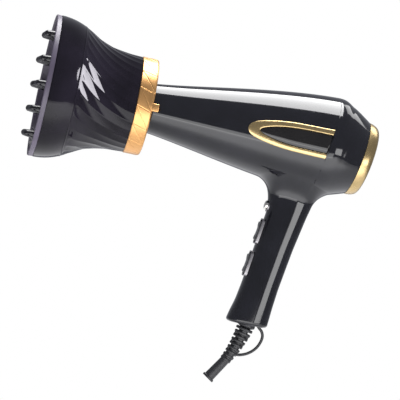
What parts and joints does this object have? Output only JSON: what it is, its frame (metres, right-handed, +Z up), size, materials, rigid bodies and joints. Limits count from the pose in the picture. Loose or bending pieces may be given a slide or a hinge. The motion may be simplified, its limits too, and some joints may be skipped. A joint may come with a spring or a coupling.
{
  "type": "hair dryer",
  "caption": "Hair dryer with a tapered barrel, leaning handle, rocker switches, removable filter cover and a round finger diffuser on its nozzle.",
  "frame": {"origin": "centre of the air outlet, on the barrel axis", "axes": "+X runs back along the barrel from the outlet, +Z is up, the handle hangs down"},
  "size_m": [0.3348, 0.1368, 0.3138],
  "materials": {
    "body_black": "polished black",
    "inner_black": "plain black",
    "antique_gold": "antique gold plating",
    "insert_black": "polished black, recessed",
    "screw_steel": "zinc plated",
    "mica": "mica board",
    "heating_wire": "drawn resistance wire",
    "fuse_ceramic": "glazed",
    "circuit_green": "potted module",
    "fan_grey": "moulded",
    "copper_wire": "enamelled copper",
    "motor_steel": "stamped laminations",
    "carbon": "pressed carbon",
    "brass": "stamped",
    "bronze": "sintered bronze",
    "bracket_steel": "pressed steel",
    "button_chrome": "polished",
    "bezel_silver": "satin silver",
    "switch_black": "moulded",
    "rocker_black": "satin black",
    "terminal_white": "moulded nylon",
    "wire_red": "insulation",
    "guard_rubber": "soft moulded rubber",
    "mesh_steel": "woven wire",
    "sleeve_silicone": "silicone",
    "cup_black": "polished black",
    "warm_gold": "satin warm gold",
    "bowl_purple": "satin dark grey-violet",
    "prong_black": "polished black"
  },
  "bodies": {
    "dryer": {"body_shell_right": "body_black", "body_shell_left": "body_black", "rear_shell": "body_black", "outlet_grille": "inner_black", "trim_right": "antique_gold", "trim_left": "antique_gold", "side_insert_right": "insert_black", "side_insert_left": "insert_black", "shell_screws": "screw_steel", "mica_tube": "mica", "mica_boards": "mica", "heating_coils": "heating_wire", "thermostat": "screw_steel", "thermal_fuse": "fuse_ceramic", "ion_module": "circuit_green", "ion_needle": "screw_steel", "fan_duct": "inner_black", "stator_core": "motor_steel", "field_windings": "copper_wire", "carbon_brushes": "carbon", "brush_holders": "brass", "front_bearing": "bronze", "rear_bearing": "bronze", "motor_bracket": "bracket_steel", "button_bezel": "bezel_silver", "button_spring": "screw_steel", "button_switch": "switch_black", "upper_bezel": "bezel_silver", "upper_switch": "switch_black", "lower_bezel": "bezel_silver", "lower_switch": "switch_black", "terminal_block": "terminal_white", "wiring": "wire_red", "cord_clamp": "inner_black", "clamp_screws": "screw_steel", "cord_guard": "guard_rubber", "hanging_loop": "guard_rubber"},
    "rotor": {"motor_shaft": "screw_steel", "armature": "copper_wire", "commutator": "copper_wire", "fan_impeller": "fan_grey"},
    "button": {"cool_button": "button_chrome"},
    "rocker_upper": {"upper_rocker": "rocker_black"},
    "rocker_lower": {"lower_rocker": "rocker_black"},
    "filter_cover": {"cover_ring": "antique_gold", "cover_grille": "inner_black", "filter_mesh": "mesh_steel"},
    "sleeve": {"grip_sleeve": "sleeve_silicone"},
    "diffuser": {"diffuser_cup": "cup_black", "diffuser_socket": "inner_black", "diffuser_collar": "warm_gold", "diffuser_bowl": "bowl_purple", "diffuser_prongs": "prong_black"}
  },
  "joints": [
    {"name": "fan_spin", "type": "hinge", "parent": "dryer", "child": "rotor", "pos_m": [0.125, 0, 0], "axis": [1, 0, 0], "continuous": true},
    {"name": "button_press", "type": "slide", "parent": "dryer", "child": "button", "axis": [0.9921, 0, -0.1253], "range_m": [0, 0.002], "stiffness_N_per_m": 600, "springref_m": -0.001, "deforming": ["button_spring"]},
    {"name": "upper_rocker_tilt", "type": "hinge", "parent": "dryer", "child": "rocker_upper", "pos_m": [0.15016, 0, -0.09394], "axis": [0, 1, 0], "range_deg": [-8, 8]},
    {"name": "lower_rocker_tilt", "type": "hinge", "parent": "dryer", "child": "rocker_lower", "pos_m": [0.14605, 0, -0.12644], "axis": [0, 1, 0], "range_deg": [-8, 8]},
    {"name": "cover_pull", "type": "slide", "parent": "dryer", "child": "filter_cover", "axis": [0.9903, 0, -0.1392], "range_m": [0, 0.02]},
    {"name": "diffuser_pull", "type": "slide", "parent": "dryer", "child": "sleeve", "axis": [-1, 0, 0], "range_m": [0, 0.045]},
    {"name": "diffuser_turn", "type": "hinge", "parent": "sleeve", "child": "diffuser", "pos_m": [0, 0, 0], "axis": [1, 0, 0], "continuous": true}
  ]
}
